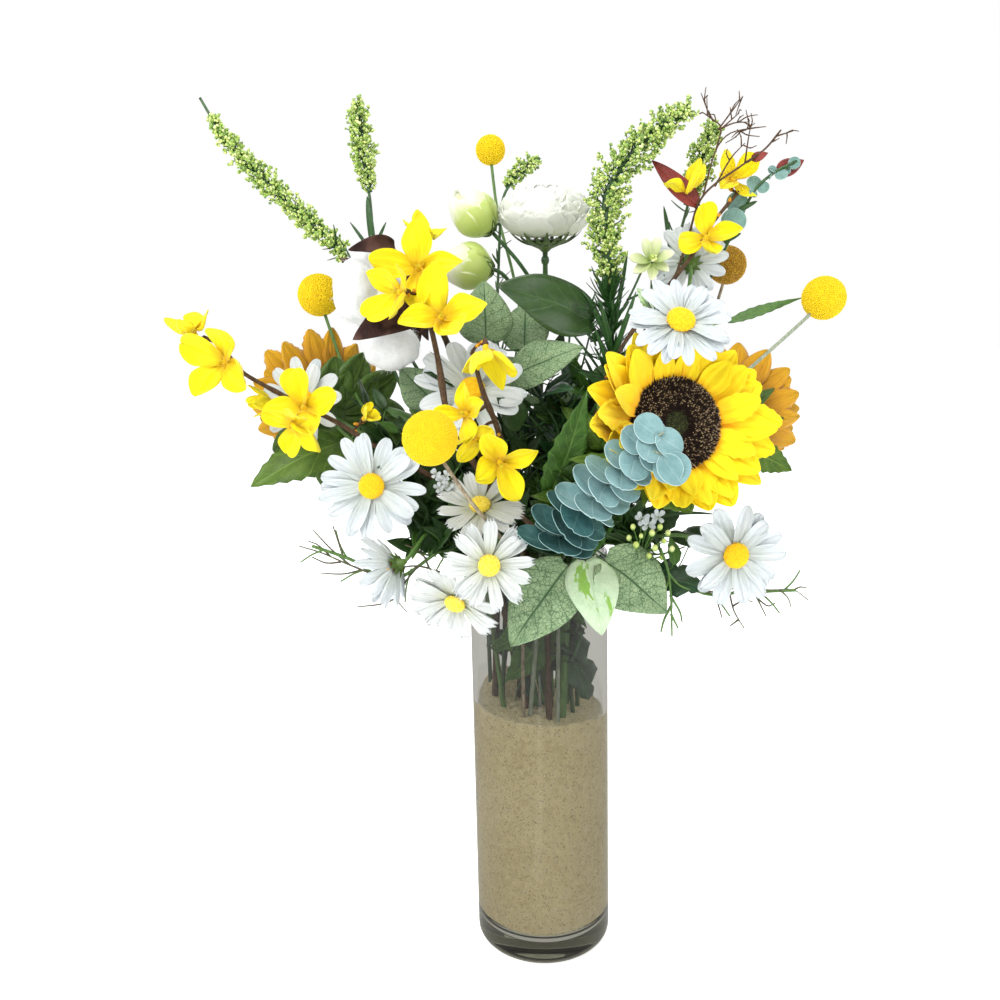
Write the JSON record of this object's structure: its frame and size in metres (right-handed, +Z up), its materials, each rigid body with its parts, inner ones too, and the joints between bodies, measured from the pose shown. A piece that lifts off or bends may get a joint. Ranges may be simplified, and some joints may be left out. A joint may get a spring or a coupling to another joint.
{
  "type": "sunflower arrangement in glass vase",
  "caption": "Artificial sunflowers with daisies, craspedia, forsythia, cotton, berry spikes and eucalyptus, standing in sand in a clear glass cylinder vase.",
  "frame": {"origin": "centre of the underside of the vase, on the surface it stands on", "axes": "+Z up along the vase's axis; -Y is the front, where the open sunflower faces; +X is to the right seen from the front"},
  "size_m": [0.4651, 0.2899, 0.6374],
  "materials": {
    "vase_glass": "clear, polished",
    "sand": "loose beige sand with darker grains",
    "sunflower_green": "moulded green stem, cloth leaves",
    "sunflower_petal": "cloth petals, yellow with orange bases",
    "seed_disc": "flocked dark brown with beige flecks",
    "daisy_petal": "white cloth",
    "daisy_eye": "flocked yellow",
    "daisy_stem": "green moulded stem",
    "craspedia_ball": "fine golden granules",
    "forsythia_blossom": "bright yellow blossoms on brown twigs",
    "cotton_husk": "dry dark brown",
    "cotton": "white fluff",
    "ranunculus_petal": "cream-white cloth",
    "ranunculus_bud": "pale green with a cream tip",
    "ranunculus_green": "dark green",
    "berry_green": "lime green beads",
    "eucalyptus_leaf": "pale blue-green with lighter rims",
    "twig": "dark brown bark",
    "veined_leaf": "grey-green with darker veins",
    "fern_green": "fine green sprigs"
  },
  "bodies": {
    "root": {"berry_spike_back": "berry_green", "berry_spike_left": "berry_green", "berry_spike_right": "berry_green", "berry_spike_small": "berry_green", "berry_spike_tall": "berry_green", "cotton_lint": "cotton", "cotton_stem_husk": "cotton_husk", "craspedia_1": "craspedia_ball", "craspedia_2": "craspedia_ball", "craspedia_3": "craspedia_ball", "craspedia_4": "craspedia_ball", "craspedia_5": "craspedia_ball", "daisy_10_head": "daisy_petal", "daisy_1_eye": "daisy_eye", "daisy_1_petals": "daisy_petal", "daisy_2_eye": "daisy_eye", "daisy_2_petals": "daisy_petal", "daisy_3_eye": "daisy_eye", "daisy_3_petals": "daisy_petal", "daisy_4_eye": "daisy_eye", "daisy_4_petals": "daisy_petal", "daisy_5_eye": "daisy_eye", "daisy_5_petals": "daisy_petal", "daisy_6_eye": "daisy_eye", "daisy_6_petals": "daisy_petal", "daisy_7_head": "daisy_petal", "daisy_8_eye": "daisy_eye", "daisy_8_petals": "daisy_petal", "daisy_8_stem": "daisy_stem", "daisy_9_head": "daisy_petal", "daisy_spray_centre_stem": "daisy_stem", "daisy_spray_left_stem": "daisy_stem", "daisy_spray_right_stem": "daisy_stem", "daisy_spray_upper_stem": "daisy_stem", "eucalyptus_back": "eucalyptus_leaf", "eucalyptus_front": "eucalyptus_leaf", "fern_left": "fern_green", "fern_right": "fern_green", "forsythia_centre": "forsythia_blossom", "forsythia_left": "forsythia_blossom", "forsythia_right": "forsythia_blossom", "forsythia_upper": "forsythia_blossom", "glass_vase": "vase_glass", "leaf_spray_front": "veined_leaf", "leaf_spray_upper": "veined_leaf", "ranunculus_bloom": "ranunculus_petal", "ranunculus_bud_1": "ranunculus_bud", "ranunculus_bud_2": "ranunculus_bud", "ranunculus_stem": "ranunculus_green", "sand_fill": "sand", "sunflower_front_disc": "seed_disc", "sunflower_front_petals": "sunflower_petal", "sunflower_front_stem": "sunflower_green", "sunflower_left_disc": "seed_disc", "sunflower_left_petals": "sunflower_petal", "sunflower_left_stem": "sunflower_green", "sunflower_right_disc": "seed_disc", "sunflower_right_petals": "sunflower_petal", "sunflower_right_stem": "sunflower_green", "twig_branch": "twig"}
  },
  "joints": []
}
